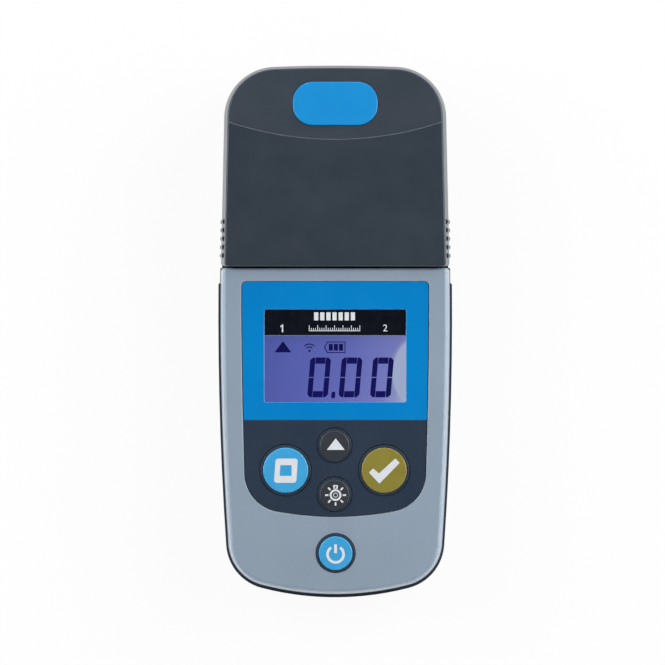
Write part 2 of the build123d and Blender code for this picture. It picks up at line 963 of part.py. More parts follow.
seal_top_inset = cap_inset(deck_z + cap_seal_height) + cap_wall + cap_seal_gap
with BuildPart() as cap_light_seal:
    with BuildSketch(Plane.XY.offset(deck_z)):
        add(cap_face(seal_top_inset, cap_wall + cap_seal_gap))
        add(
            cap_face(seal_top_inset + cap_seal_width, cap_wall + cap_seal_gap + cap_seal_width),
            mode=Mode.SUBTRACT,
        )
    extrude(amount=cap_seal_height)
save(cap_light_seal.part, "cap_light_seal")

# Cap


def slope_wedge(lowered):
    """All that lies above the cap's sloping head, with the slope lowered by a distance."""
    centre_y = crease_y + crease_radius
    inner_radius = centre_y - half_length - cap_head_corner
    crease_z = case_depth - crease_step - lowered
    fall = (crease_radius - inner_radius) * tan(radians(cap_slope))
    with BuildPart() as wedge:
        with BuildSketch(Plane((0, centre_y, 0), x_dir=(1, 0, 0), z_dir=(0, -1, 0))):
            with BuildLine():
                Polyline(
                    (crease_radius, case_depth + cap_draft),
                    (crease_radius, crease_z),
                    (inner_radius, crease_z - fall),
                    (inner_radius, case_depth + cap_draft),
                    close=True,
                )
            make_face()
        revolve(axis=Axis((0, centre_y, 0), (0, 0, 1)))
    return wedge.part


cap_block = drafted(cap_low_z, cap_face(0), case_depth, cap_face(cap_draft))
with BuildPart() as head_zone:
    with BuildSketch(Plane.XY):
        with Locations((0, crease_y + crease_radius)):
            Circle(crease_radius)
    extrude(amount=case_depth + cap_draft)

# The level part of the cap and its sloping head meet at the crease, each with its own rounded rim
with BuildPart() as cap_level:
    add(cap_block)
    fillet(cap_level.faces().sort_by(Axis.Z)[-1].edges(), cap_edge_radius)
    add(head_zone.part, mode=Mode.SUBTRACT)
    # Fine bevel along the crease
    with Locations((0, crease_y + crease_radius, case_depth)):
        Cone(crease_radius, crease_radius + 2 * crease_bevel, 2 * crease_bevel, mode=Mode.SUBTRACT)
with BuildPart() as cap_head:
    add(cap_block & head_zone.part)
    add(slope_wedge(0), mode=Mode.SUBTRACT)
    slope_rim = cap_head.faces().sort_by(Axis.Z)[-1].edges().sort_by(Axis.Y)[1:]
    fillet(slope_rim, cap_edge_radius)

cap_inside = (
    drafted(
        cap_low_z,
        cap_face(cap_wall, cap_wall),
        cap_ceiling_z,
        cap_face(cap_inset(cap_ceiling_z) + cap_wall, cap_wall),
    )
    - slope_wedge(cap_wall)
)
cap_lean = degrees(atan(cap_draft / (case_depth - cap_low_z)))
badge_z = case_depth - crease_step - (badge_y - crease_y) * tan(radians(cap_slope))
badge_plane = Plane(
    (0, badge_y, badge_z),
    x_dir=(1, 0, 0),
    z_dir=(0, sin(radians(cap_slope)), cos(radians(cap_slope))),
)


def cap_side(y, z):
    """Half width of the cap's outer wall at a place."""
    along = (y - cap_foot_y) / (half_length - cap_foot_y)
    return cap_low_half_width + along * (cap_high_half_width - cap_low_half_width) - cap_inset(z)


with BuildPart() as instrument_cap:
    add(cap_level.part)
    add(cap_head.part)
    # Grip ribs lean with the drafted side walls
    for side in (-1, 1):
        for number in range(rib_count):
            rib_y = rib_first_y + number * rib_pitch
            rib_x = side * (cap_side(rib_y, rib_z) + rib_proud - rib_radius)
            with Locations(Location((rib_x, rib_y, rib_z), (0, -side * cap_lean, 0))):
                Cylinder(rib_radius, rib_height)
    add(cap_inside, mode=Mode.SUBTRACT)
    with BuildSketch(badge_plane.offset(-badge_depth)):
        RectangleRounded(badge_width + 2 * slip_fit, badge_height + 2 * slip_fit, badge_corner)
    extrude(amount=2 * badge_thick, mode=Mode.SUBTRACT)
save(instrument_cap.part, "instrument_cap")

with BuildPart() as badge_plate:
    with BuildSketch(badge_plane.offset(-badge_depth)):
        RectangleRounded(badge_width, badge_height, badge_corner)
    extrude(amount=badge_thick)
    fillet(badge_plate.faces().sort_by(Axis.Z)[-1].edges(), badge_edge)
save(badge_plate.part, "badge_plate")

# Plates in the face recess
with BuildPart() as display_plate:
    with BuildSketch(Plane.XY.offset(panel_floor_z)):
        add(panel_face(panel_gap))
        with Locations((0, panel_split_y + case_length / 2)):
            Rectangle(case_width, case_length, mode=Mode.INTERSECT)
        with Locations((0, display_y)):
            RectangleRounded(
                display_width, display_height, display_corner, mode=Mode.SUBTRACT
            )
    extrude(amount=panel_thick)
    chamfer(display_plate.faces().sort_by(Axis.Z)[-1].edges(), panel_edge)
save(display_plate.part, "display_plate")

with BuildPart() as key_plate:
    with BuildSketch(Plane.XY.offset(panel_floor_z)):
        add(panel_face(panel_gap))
        with Locations((0, panel_split_y - case_length / 2)):
            Rectangle(case_width, case_length, mode=Mode.INTERSECT)
        for name, spot, ring, cap in keys:
            with Locations(spot):
                Circle(ring + key_gap, mode=Mode.SUBTRACT)
    extrude(amount=panel_thick)
    chamfer(key_plate.faces().sort_by(Axis.Z)[-1].edges(), panel_edge)
save(key_plate.part, "key_plate")

with BuildPart() as display_window:
    with BuildSketch(Plane.XY.offset(window_low_z)):
        with Locations((0, display_y)):
            Rectangle(window_width, window_height)
    extrude(amount=window_thick)
save(display_window.part, "display_window")

header_y = display_y + (display_height - header_height) / 2 - slip_fit
with BuildPart() as display_header:
    with BuildSketch(Plane.XY.offset(panel_floor_z)):
        with Locations((0, header_y)):
            Rectangle(display_width - 2 * slip_fit, header_height)
    extrude(amount=header_thick)
save(display_header.part, "display_header")

# Keys, each with its hard cap and the pin of its switch


def key_top(name):
    """Height of the surface that a key stands out of."""
    return face_z if name == "power" else panel_top_z


def key_body(name, spot, ring, cap):
    """Soft key: a round shaft with a flange under the face and a pocket for its cap."""
    top = key_top(name) + key_proud
    with BuildPart() as body:
        with BuildSketch(Plane.XY.offset(flange_low_z)):
            with Locations(spot):
                Circle(ring)
        extrude(amount=top - flange_low_z)
        fillet(body.faces().sort_by(Axis.Z)[-1].edges(), key_edge)
        with BuildSketch(Plane.XY.offset(flange_low_z)):
            with Locations(spot):
                Circle(ring + key_flange)
        extrude(amount=key_flange_thick)
        with BuildSketch(Plane.XY.offset(stem_low_z)):
            with Locations(spot):
                Circle(key_stem_radius)
        extrude(amount=flange_low_z - stem_low_z)
        with BuildSketch(Plane.XY.offset(top - key_cap_thick + key_cap_proud)):
            with Locations(spot):
                Circle(cap + insert_fit)
        extrude(amount=key_cap_thick, mode=Mode.SUBTRACT)
    return body.part


def key_cap(name, spot, radius):
    """Hard coloured disc in a key's pocket."""
    low = key_top(name) + key_proud - key_cap_thick + key_cap_proud
    with BuildPart() as disc:
        with BuildSketch(Plane.XY.offset(low)):
            with Locations(spot):
                Circle(radius)
        extrude(amount=key_cap_thick)
        fillet(disc.faces().sort_by(Axis.Z)[-1].edges(), key_cap_edge)
    return disc.part


def switch_pin(spot):
    """Plunger of a switch, under a key's stem."""
    with BuildPart() as pin:
        with BuildSketch(Plane.XY.offset(switch_top_z - switch_pin_depth)):
            with Locations(spot):
                Circle(switch_pin_radius)
        extrude(amount=switch_pin_depth + switch_pin_rise)
    return pin.part


for name, spot, ring, cap in keys:
    save(key_body(name, spot, ring, cap), f"{name}_key")
    save(key_cap(name, spot, cap), f"{name}_key_cap")
    save(switch_pin(spot), f"{name}_switch_pin")

key_spots = [spot for name, spot, ring, cap in keys]
with BuildPart() as key_switches:
    with BuildSketch(Plane.XY.offset(board_top_z)):
        with Locations(*key_spots):
            Rectangle(switch_size, switch_size)
    extrude(amount=switch_height)
    with BuildSketch(Plane.XY.offset(switch_top_z)):
        with Locations(*key_spots):
            Circle(switch_pin_radius + switch_pin_gap)
    extrude(amount=-switch_pin_depth - key_travel - switch_pin_gap, mode=Mode.SUBTRACT)
save(key_switches.part, "key_switches")

# Seal mat under the face, round all five keys
mat_half_width = max(abs(spot[0]) + ring for name, spot, ring, cap in keys) + mat_margin
mat_head_y = max(spot[1] + ring for name, spot, ring, cap in keys) + mat_margin
mat_waist_y = keys[0][1][1] - keys[0][2] - mat_margin
mat_foot_y = min(spot[1] - ring for name, spot, ring, cap in keys) - mat_margin
mat_tail_half_width = keys[-1][2] + mat_margin
with BuildPart() as key_mat:
    with BuildSketch(Plane.XY.offset(mat_low_z)) as mat_outline:
        with Locations((0, (mat_head_y + mat_waist_y) / 2)):
            Rectangle(2 * mat_half_width, mat_head_y - mat_waist_y)
        with Locations((0, (mat_head_y + mat_foot_y) / 2)):
            Rectangle(2 * mat_tail_half_width, mat_head_y - mat_foot_y)
        fillet(mat_outline.vertices(), mat_corner)
        for name, spot, ring, cap in keys:
            with Locations(spot):
                Circle(ring + key_gap, mode=Mode.SUBTRACT)
    extrude(amount=mat_thick)
save(key_mat.part, "key_mat")

# Main board and what stands on it
with BuildPart() as main_board:
    with BuildSketch(Plane.XY.offset(board_z)) as board_outline:
        with Locations((0, (board_head_y + board_foot_y) / 2)):
            Rectangle(board_width, board_head_y - board_foot_y)
        with Locations((0, (board_head_y + board_tail_y) / 2)):
            Rectangle(board_tail_width, board_head_y - board_tail_y)
        fillet(board_outline.vertices(), board_corner)
        with Locations(*board_post_spots):
            Circle(board_post_hole + slip_fit, mode=Mode.SUBTRACT)
    extrude(amount=board_thick)
save(main_board.part, "main_board")

save(
    screws(
        board_post_spots,
        board_z,
        board_head_radius,
        board_head_height,
        board_screw_radius,
        board_thick + board_screw_reach - slip_fit,
        True,
    ),
    "board_screws",
)

with BuildPart() as processor:
    with BuildSketch(Plane.XY.offset(board_z)):
        with Locations(processor_spot):
            Rectangle(processor_size, processor_size)
    extrude(amount=-processor_thick)
save(processor.part, "processor")

with BuildPart() as radio_module:
    with BuildSketch(Plane.XY.offset(board_z)):
        with Locations(radio_spot):
            Rectangle(radio_width, radio_length)
    extrude(amount=-radio_thick)
save(radio_module.part, "radio_module")

# Display module: light guide, glass, contact strips and the frame round them
guide_height = glass_height - 2 * (strip_width + slip_fit)
with BuildPart() as light_guide:
    with BuildSketch(Plane.XY.offset(board_top_z)):
        with Locations((0, glass_y)):
            Rectangle(glass_width, guide_height)
    extrude(amount=light_guide_thick)
save(light_guide.part, "light_guide")

with BuildPart() as display_glass:
    with BuildSketch(Plane.XY.offset(guide_top_z)):
        with Locations((0, glass_y)):
            Rectangle(glass_width, glass_height)
    extrude(amount=glass_thick)
save(display_glass.part, "display_glass")

with BuildPart() as contact_strips:
    with BuildSketch(Plane.XY.offset(board_top_z)):
        with Locations((0, glass_y)):
            with GridLocations(0, glass_height - strip_width, 1, 2):
                Rectangle(glass_width - 2 * strip_width, strip_width)
    extrude(amount=light_guide_thick)
save(contact_strips.part, "contact_strips")

with BuildPart() as display_frame:
    with BuildSketch(Plane.XY.offset(board_top_z)):
        with Locations((0, glass_y)):
            Rectangle(glass_width + 2 * frame_wall, glass_height + 2 * frame_wall)
            Rectangle(
                glass_width + 2 * slip_fit, glass_height + 2 * slip_fit, mode=Mode.SUBTRACT
            )
    extrude(amount=glass_top_z + frame_top_gap - board_top_z)
save(display_frame.part, "display_frame")

# Batteries, every second one turned round
bay_end = bay_length / 2 - contact_thick


def battery_x(number):
    """Place of a battery across the bay."""
    return (number - (battery_count - 1) / 2) * battery_pitch


def battery(number):
    """Cell with its raised terminal against one end of the bay."""
    way = 1 if number % 2 == 0 else -1
    shoulder = battery_y + way * (bay_end - battery_nub_length)
    with BuildPart() as cell:
        with BuildSketch(Plane.XZ.offset(-shoulder)):
            with Locations((battery_x(number), battery_z)):
                Circle(battery_radius)
        extrude(amount=way * battery_length)
        fillet(cell.edges(), battery_edge)
        with BuildSketch(Plane.XZ.offset(-shoulder)):
            with Locations((battery_x(number), battery_z)):
                Circle(battery_nub_radius)
        extrude(amount=-way * battery_nub_length)
    return cell.part


for number in range(battery_count):
    save(battery(number), f"battery_{number + 1}")

coil_height = spring_length - 2 * spring_wire
with BuildPart() as one_spring:
    with BuildLine() as coil_line:
        Helix(coil_height / spring_turns, coil_height, spring_radius)
    with BuildSketch(Plane(coil_line.line @ 0, z_dir=coil_line.line % 0)):
        Circle(spring_wire)
    sweep()
with BuildPart() as battery_springs:
    for number in range(battery_count):
        way = 1 if number % 2 == 0 else -1
        seat_y = battery_y - way * (bay_end - spring_wire)
        with Locations(Location((battery_x(number), seat_y, battery_z), (-way * 90, 0, 0))):
            add(one_spring.part)
save(battery_springs.part, "battery_springs")

plate_spans = [(1, 0, 1), (1, 2, 3), (-1, 0, 0), (-1, 1, 2), (-1, 3, 3)]
with BuildPart() as battery_contacts:
    for end, first, last in plate_spans:
        plate_y = battery_y + end * (bay_length - contact_thick) / 2
        plate_x = (battery_x(first) + battery_x(last)) / 2
        plate_width = battery_x(last) - battery_x(first) + contact_size
        with Locations((plate_x, plate_y, battery_z)):
            Box(plate_width, contact_thick, contact_size)
save(battery_contacts.part, "battery_contacts")

with BuildPart() as battery_pins:
    with BuildSketch(Plane.XY.offset(bay_roof_z - pin_overlap)):
        with Locations(*pin_spots):
            Circle(pin_radius)
    extrude(amount=board_z - bay_roof_z + pin_overlap)
save(battery_pins.part, "battery_pins")

# Battery cover with its seal and captive screws
with BuildPart() as battery_cover:
    with BuildSketch(Plane.XY.offset(cover_low_z)):
        add(cover_face(0))
    extrude(amount=cover_thick)
    with BuildSketch(Plane.XY.offset(cover_low_z)):
        with Locations(*cover_tab_spots):
            Circle(case_screw_radius + screw_hole_gap)
    extrude(amount=cover_thick, mode=Mode.SUBTRACT)
    with BuildSketch(Plane.XY.offset(cover_low_z)):
        with Locations(*cover_tab_spots):
            Circle(cover_head_radius + slip_fit)
    extrude(amount=cover_head_depth, mode=Mode.SUBTRACT)
    with BuildSketch(Plane.XY.offset(cover_low_z)):
        with Locations((0, battery_y)):
            with GridLocations(0, cover_grip_pitch, 1, cover_grip_count):
                SlotOverall(cover_grip_length, cover_grip_width)
    extrude(amount=cover_grip_depth, mode=Mode.SUBTRACT)
save(battery_cover.part, "battery_cover")

cover_top_z = cover_low_z + cover_thick
with BuildPart() as battery_cover_seal:
    with BuildSketch(Plane.XY.offset(cover_top_z)):
        with Locations((0, battery_y)):
            RectangleRounded(
                bay_width + cover_land + cover_seal_width,
                bay_length + cover_land + cover_seal_width,
                cover_corner,
            )
            Rectangle(
                bay_width + cover_land - cover_seal_width,
                bay_length + cover_land - cover_seal_width,
                mode=Mode.SUBTRACT,
            )
    extrude(amount=cover_seal_thick)
save(battery_cover_seal.part, "battery_cover_seal")

save(
    screws(
        cover_tab_spots,
        cover_low_z + cover_head_depth,
        cover_head_radius,
        cover_head_height,
        case_screw_radius,
        cover_screw_end_z - cover_low_z - cover_head_depth,
        True,
    ),
    "battery_cover_screws",
)
save(
    inserts(cover_tab_spots, cover_land_z, cover_insert_length, case_screw_radius),
    "cover_inserts",
)
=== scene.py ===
import json
from math import cos, pi, radians, sin

import bpy
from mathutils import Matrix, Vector


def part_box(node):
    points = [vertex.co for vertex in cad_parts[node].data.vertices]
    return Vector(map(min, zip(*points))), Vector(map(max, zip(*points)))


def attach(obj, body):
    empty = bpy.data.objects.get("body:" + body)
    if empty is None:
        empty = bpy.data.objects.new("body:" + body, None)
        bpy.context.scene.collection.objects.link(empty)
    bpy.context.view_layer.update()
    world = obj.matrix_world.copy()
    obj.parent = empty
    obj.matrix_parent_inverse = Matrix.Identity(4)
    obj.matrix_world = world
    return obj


# Looks of the portable colorimeter: finishes, key symbols, display segments and printed marks.
# Lengths below are millimetres until a function turns them into metres.

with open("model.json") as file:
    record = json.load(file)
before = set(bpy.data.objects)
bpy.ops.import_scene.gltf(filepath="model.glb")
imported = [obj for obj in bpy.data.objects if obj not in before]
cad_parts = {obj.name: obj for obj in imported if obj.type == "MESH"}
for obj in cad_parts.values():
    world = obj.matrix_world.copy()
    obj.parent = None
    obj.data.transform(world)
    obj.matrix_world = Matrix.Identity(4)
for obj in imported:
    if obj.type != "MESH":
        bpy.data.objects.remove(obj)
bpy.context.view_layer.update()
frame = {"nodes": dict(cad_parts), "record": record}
nodes = frame["nodes"]
mm = 0.001

# View
photo_width_mm = 196.15
view_height_z = 19.0
camera_distance = 6000.0
camera_spot = (-0.8, -0.35)
sensor_width = 36.0

# Light of the display, the floor and the white tent; a strength of 1 renders as white
display_strength = 0.84
floor_half_width = 4000.0
floor_depth = 0.05
floor_glow = 0.93
tent_horizon = 0.1
tent_overhead = 0.7
horizon_strength = 0.92
overhead_strength = 0.04

# Values of the random pattern mostly lie between these two
pattern_low = 0.3
pattern_high = 0.7

# Printed marks
ink_thick = 0.05
ink_lift = 0.01
curve_steps = 10


# Small helpers


def hex_colour(code):
    """Turns an sRGB hex colour into the linear colour that a shader takes."""
    channels = [int(code[start:start + 2], 16) / 255 for start in (1, 3, 5)]
    linear = [c / 12.92 if c <= 0.04045 else ((c + 0.055) / 1.055) ** 2.4 for c in channels]
    return (*linear, 1.0)


def per_size(size):
    """Texture scale that gives a pattern of this size in millimetres."""
    return 1.0 / (size * mm)


def add_node(tree, kind, sockets=None, **settings):
    """Adds a node, sets its settings, and sets or links its sockets by name or number."""
    made = tree.nodes.new(kind)
    for name, value in settings.items():
        setattr(made, name, value)
    for name, value in (sockets or {}).items():
        if isinstance(value, bpy.types.NodeSocket):
            tree.links.new(value, made.inputs[name])
        else:
            made.inputs[name].default_value = value
    return made


# Materials


def start_material(name, **values):
    """A material with one surface shader; values are its plain sockets."""
    material = bpy.data.materials.new(name)
    material.use_nodes = True
    tree = material.node_tree
    tree.nodes.clear()
    shader = add_node(tree, "ShaderNodeBsdfPrincipled", {k.replace("_", " "): v for k, v in values.items()})
    add_node(tree, "ShaderNodeOutputMaterial", {"Surface": shader.outputs[0]})
    return material, tree, shader


def pattern(tree, size, detail=2.0, stretch=(1.0, 1.0, 1.0)):
    """Soft random pattern fixed to the object, with patches of this size in millimetres."""
    place = add_node(tree, "ShaderNodeTexCoord")
    mapped = add_node(tree, "ShaderNodeMapping", {"Vector": place.outputs["Object"], "Scale": stretch})
    noise = add_node(
        tree,
        "ShaderNodeTexNoise",
        {"Vector": mapped.outputs["Vector"], "Scale": per_size(size), "Detail": detail},
    )
    return noise.outputs["Fac"]


def between(tree, share, low, high):
    """Colour between two tones, by a pattern that mostly lies near its middle."""
    mixed = add_node(
        tree,
        "ShaderNodeMix",
        {0: number_between(tree, share, 0.0, 1.0), 6: hex_colour(low), 7: hex_colour(high)},
        data_type="RGBA",
    )
    return mixed.outputs[2]


def number_between(tree, share, low, high):
    """Number between two limits, by the same kind of pattern."""
    spread = add_node(
        tree,
        "ShaderNodeMapRange",
        {"Value": share, "From Min": pattern_low, "From Max": pattern_high, "To Min": low, "To Max": high},
    )
    return spread.outputs[0]


def grain(tree, shader, size, depth, detail=2.0, stretch=(1.0, 1.0, 1.0)):
    """Relief of a real size and depth in millimetres on the surface."""
    relief = add_node(
        tree,
        "ShaderNodeBump",
        {"Strength": 1.0, "Distance": depth * mm, "Height": pattern(tree, size, detail, stretch)},
    )
    tree.links.new(relief.outputs[0], shader.inputs["Normal"])


def moulded(name, tones, patch, roughness, relief, **values):
    """Moulded or printed plastic: two close tones in patches, a drifting gloss and a fine relief."""
    material, tree, shader = start_material(name, **values)
    tree.links.new(between(tree, pattern(tree, patch, 4.0), *tones), shader.inputs["Base Color"])
    tree.links.new(number_between(tree, pattern(tree, patch / 3), *roughness), shader.inputs["Roughness"])
    grain(tree, shader, *relief)
    return material


def silver_abs():
    """ABS with mica, moulded and satin: a cool grey with a slight sparkle of fine flakes."""
    material, tree, shader = start_material(
        "silver_mica_abs", IOR=1.5, Metallic=0.1, Coat_Weight=0.35, Coat_Roughness=0.2, Coat_IOR=1.5
    )
    broad = between(tree, pattern(tree, 38.0, 2.0), "#92a2b3", "#98a8b9")
    # Flakes are about 0.1 mm on the real shell; they are drawn at 0.35 mm so that they show
    flakes = number_between(tree, pattern(tree, 0.35, 1.0), 0.975, 1.03)
    tinted = add_node(
        tree,
        "ShaderNodeMix",
        {0: 1.0, 6: broad, 7: flakes},
        data_type="RGBA",
        blend_type="MULTIPLY",
    )
    tree.links.new(tinted.outputs[2], shader.inputs["Base Color"])
    tree.links.new(number_between(tree, pattern(tree, 9.0), 0.36, 0.44), shader.inputs["Roughness"])
    grain(tree, shader, 0.5, 0.006)
    return material


def charcoal_abs():
    """ABS in charcoal blue with a spark-eroded texture: matt, so that only its edges catch light."""
    return moulded(
        "charcoal_textured_abs", ("#29333f", "#2d3743"), 26.0, (0.38, 0.46), (0.45, 0.006, 3.0), IOR=1.5,
        Coat_Weight=0.2, Coat_Roughness=0.22, Coat_IOR=1.5,
    )


def blue_overlay():
    """Polycarbonate overlay printed blue on its back: an even bright blue under a satin surface."""
    return moulded(
        "blue_printed_polycarbonate", ("#0080c8", "#0086ce"), 30.0, (0.18, 0.24), (0.4, 0.0006), IOR=1.58
    )


def keypad_overlay():
    """Polycarbonate overlay printed slate blue: darker than the shell, satin."""
    return moulded(
        "slate_printed_polycarbonate", ("#2a3748", "#303d4e"), 24.0, (0.22, 0.28), (0.4, 0.0006), IOR=1.58
    )


def badge_blue():
    """Acrylic label plate, printed blue: brighter and a little duller than the overlay."""
    tones = ("#1085c8", "#148bce")
    return moulded("blue_acrylic_plate", tones, 12.0, (0.28, 0.32), (0.4, 0.0006), IOR=1.49)


def header_black():
    """Black screen ink on a thin film: nearly black with a little blue."""
    return moulded("black_screen_print", ("#070b16", "#0a0f1a"), 8.0, (0.22, 0.3), (0.4, 0.002), IOR=1.5)


def white_ink():
    """White screen ink: a slightly cool white with soft gloss."""
    return moulded("white_screen_print", ("#dadfe5", "#e2e6eb"), 2.0, (0.4, 0.5), (0.3, 0.004), IOR=1.5)


def light_grey_hairline():
    """Light grey for the thin line along the lower edge of the header strip."""
    return moulded("light_grey_hairline_colour", ("#6c7784", "#788390"), 2.0, (0.4, 0.5), (0.3, 0.003), IOR=1.5)


def segment_ink():
    """Liquid crystal segments that are switched on: deep indigo against the lit glass."""
    return moulded("dark_display_segment", ("#0e0e66", "#13136e"), 3.0, (0.15, 0.2), (0.4, 0.001), IOR=1.5)


def lit_display():
    """Display glass lit from behind: violet blue, with a pale painted reflection near its lower right edge.
    """
    material, tree, shader = start_material("backlit_display_glass", IOR=1.52, Roughness=0.2)
    low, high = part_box("display_glass")
    place = add_node(tree, "ShaderNodeTexCoord")
    parts = add_node(tree, "ShaderNodeSeparateXYZ", {0: place.outputs["Object"]})
    across = add_node(
        tree,
        "ShaderNodeMapRange",
        {"Value": parts.outputs["X"], "From Min": low.x, "From Max": high.x},
    )
    down = add_node(
        tree,
        "ShaderNodeMapRange",
        {"Value": parts.outputs["Y"], "From Min": high.y, "From Max": low.y, "To Min": -0.1, "To Max": 0.08},
    )
    drift = add_node(tree, "ShaderNodeMath", {0: across.outputs[0], 1: down.outputs[0]}, operation="ADD")
    uneven = number_between(tree, pattern(tree, 16.0), -0.03, 0.03)
    # Paler spot near the lower right edge: a painted reflection, added to the light of the display
    painted_reflection_spot = (high.x + 5.0 * mm, low.y + 11.0 * mm, high.z)
    away = add_node(
        tree, "ShaderNodeVectorMath", {0: place.outputs["Object"], 1: painted_reflection_spot}, operation="DISTANCE"
    )
    glow = add_node(
        tree,
        "ShaderNodeMapRange",
        {
            "Value": away.outputs["Value"],
            "From Min": 5.0 * mm,
            "From Max": 12.0 * mm,
            "To Min": 0.6,
            "To Max": 0.0,
        },
        interpolation_type="SMOOTHSTEP",
    )
    spread = add_node(tree, "ShaderNodeMath", {0: drift.outputs[0], 1: uneven}, operation="ADD")
    level = add_node(tree, "ShaderNodeMath", {0: spread.outputs[0], 1: glow.outputs[0]}, operation="ADD")
    tones = add_node(tree, "ShaderNodeValToRGB", {0: level.outputs[0]})
    stops = [
        (0.0, "#5e6abc"), (0.3, "#646fc1"), (0.55, "#717ac9"), (0.85, "#8a90d6"), (0.95, "#a6b0e0"),
        (1.0, "#c0cdee"),
    ]
    ramp = tones.color_ramp
    while len(ramp.elements) < len(stops):
        ramp.elements.new(0.5)
    for element, (spot, colour) in zip(ramp.elements, stops):
        element.position = spot
        element.color = hex_colour(colour)
    tree.links.new(tones.outputs[0], shader.inputs["Emission Color"])
    shader.inputs["Emission Strength"].default_value = display_strength
    tree.links.new(between(tree, pattern(tree, 14.0), "#232559", "#292b62"), shader.inputs["Base Color"])
    return material


def clear_acrylic():
    """Cast acrylic window: clear, with the faintest waviness; lamps shine through it."""
    material, tree, shader = start_material("clear_acrylic", IOR=1.49, Roughness=0.02)
    shader.inputs["Transmission Weight"].default_value = 1.0
    grain(tree, shader, 9.0, 0.002, 1.0)
    path = add_node(tree, "ShaderNodeLightPath")
    passing = add_node(
        tree,
        "ShaderNodeMath",
        {0: path.outputs["Is Shadow Ray"], 1: path.outputs["Is Diffuse Ray"]},
        operation="MAXIMUM",
    )
    clear = add_node(tree, "ShaderNodeBsdfTransparent")
    both = add_node(
        tree, "ShaderNodeMixShader", {0: passing.outputs[0], 1: shader.outputs[0], 2: clear.outputs[0]}
    )
    end = next(n for n in tree.nodes if n.type == "OUTPUT_MATERIAL")
    tree.links.new(both.outputs[0], end.inputs["Surface"])
    return material


def optical_glass(name, tint):
    """Ground and polished optical glass with a coating tint."""
    material, tree, shader = start_material(name, IOR=1.52, Roughness=0.03)
    shader.inputs["Transmission Weight"].default_value = 0.9
    tree.links.new(between(tree, pattern(tree, 3.0), *tint), shader.inputs["Base Color"])
    return material


def key_rubber():
    """Silicone rubber, moulded: dull and a touch darker than the overlay round it."""
    tones = ("#233041", "#283649")
    return moulded("slate_silicone_rubber", tones, 6.0, (0.5, 0.62), (0.3, 0.006), IOR=1.42)


def key_cap_abs(name, tones):
    """Hard key cap in coloured ABS: smooth, softly glossy."""
    return moulded(name, tones, 5.0, (0.3, 0.38), (0.6, 0.003), IOR=1.52)


def seal_rubber():
    """Nitrile rubber: black and dull."""
    return moulded("black_nitrile_rubber", ("#17181a", "#1e1f22"), 4.0, (0.6, 0.75), (0.3, 0.01), IOR=1.5)


def plain_plastic(name, tones):
    """Unpainted moulded plastic inside the case."""
    return moulded(name, tones, 9.0, (0.42, 0.52), (0.6, 0.006), IOR=1.5)


def metal(name, tones, roughness, stretch, depth):
    """Bare or plated metal with the streaks that turning or rolling leaves."""
    material, tree, shader = start_material(name, Metallic=1.0)
    streaks = pattern(tree, 0.8, 3.0, stretch)
    tree.links.new(between(tree, streaks, *tones), shader.inputs["Base Color"])
    tree.links.new(number_between(tree, streaks, *roughness), shader.inputs["Roughness"])
    grain(tree, shader, 0.3, depth, 2.0, stretch)
    return material


def circuit_board():
    """Glass epoxy under green solder mask: copper tracks show as a lighter green net."""
    material, tree, shader = start_material("green_solder_mask", IOR=1.5)
    place = add_node(tree, "ShaderNodeTexCoord")
    # Tracks are drawn as the joints between bricks of 2.5 x 1.25 mm, coarser than real ones
    tracks = add_node(
        tree,
        "ShaderNodeTexBrick",
        {
            "Vector": place.outputs["Object"],
            "Color1": hex_colour("#0b4a2b"),
            "Color2": hex_colour("#0e5231"),
            "Mortar": hex_colour("#2a7a4c"),
            "Scale": per_size(5.0),
            "Mortar Size": 0.03,
        },
    )
    tree.links.new(tracks.outputs["Color"], shader.inputs["Base Color"])
    tree.links.new(number_between(tree, pattern(tree, 3.0), 0.28, 0.4), shader.inputs["Roughness"])
    grain(tree, shader, 0.6, 0.01)
    return material


def battery_jacket():
    """Printed shrink jacket over a steel can: graphite with a band, bare steel at both ends."""
    material, tree, shader = start_material("battery_jacket_on_steel", IOR=1.5)
    low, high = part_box("battery_1")
    middle = (low.y + high.y) / 2
    bare_steel = 2.2 * mm
    band_width = 9.0 * mm
    jacket_end = (high.y - low.y) / 2 - bare_steel
    band_end = jacket_end - band_width
    place = add_node(tree, "ShaderNodeTexCoord")
    parts = add_node(tree, "ShaderNodeSeparateXYZ", {0: place.outputs["Object"]})
    along = add_node(tree, "ShaderNodeMath", {0: parts.outputs["Y"], 1: middle}, operation="SUBTRACT")
    away = add_node(tree, "ShaderNodeMath", {0: along.outputs[0]}, operation="ABSOLUTE")
    bare = add_node(tree, "ShaderNodeMath", {0: away.outputs[0], 1: jacket_end}, operation="GREATER_THAN")
    banded = add_node(tree, "ShaderNodeMath", {0: along.outputs[0], 1: band_end}, operation="GREATER_THAN")
    jacket = add_node(
        tree,
        "ShaderNodeMix",
        {0: banded.outputs[0], 6: hex_colour("#2b2f36"), 7: hex_colour("#a9743a")},
        data_type="RGBA",
    )
    whole = add_node(
        tree,
        "ShaderNodeMix",
        {0: bare.outputs[0], 6: jacket.outputs[2], 7: hex_colour("#b9b9b6")},
        data_type="RGBA",
    )
    tree.links.new(whole.outputs[2], shader.inputs["Base Color"])
    tree.links.new(bare.outputs[0], shader.inputs["Metallic"])
    tree.links.new(number_between(tree, pattern(tree, 4.0), 0.24, 0.34), shader.inputs["Roughness"])
    return material


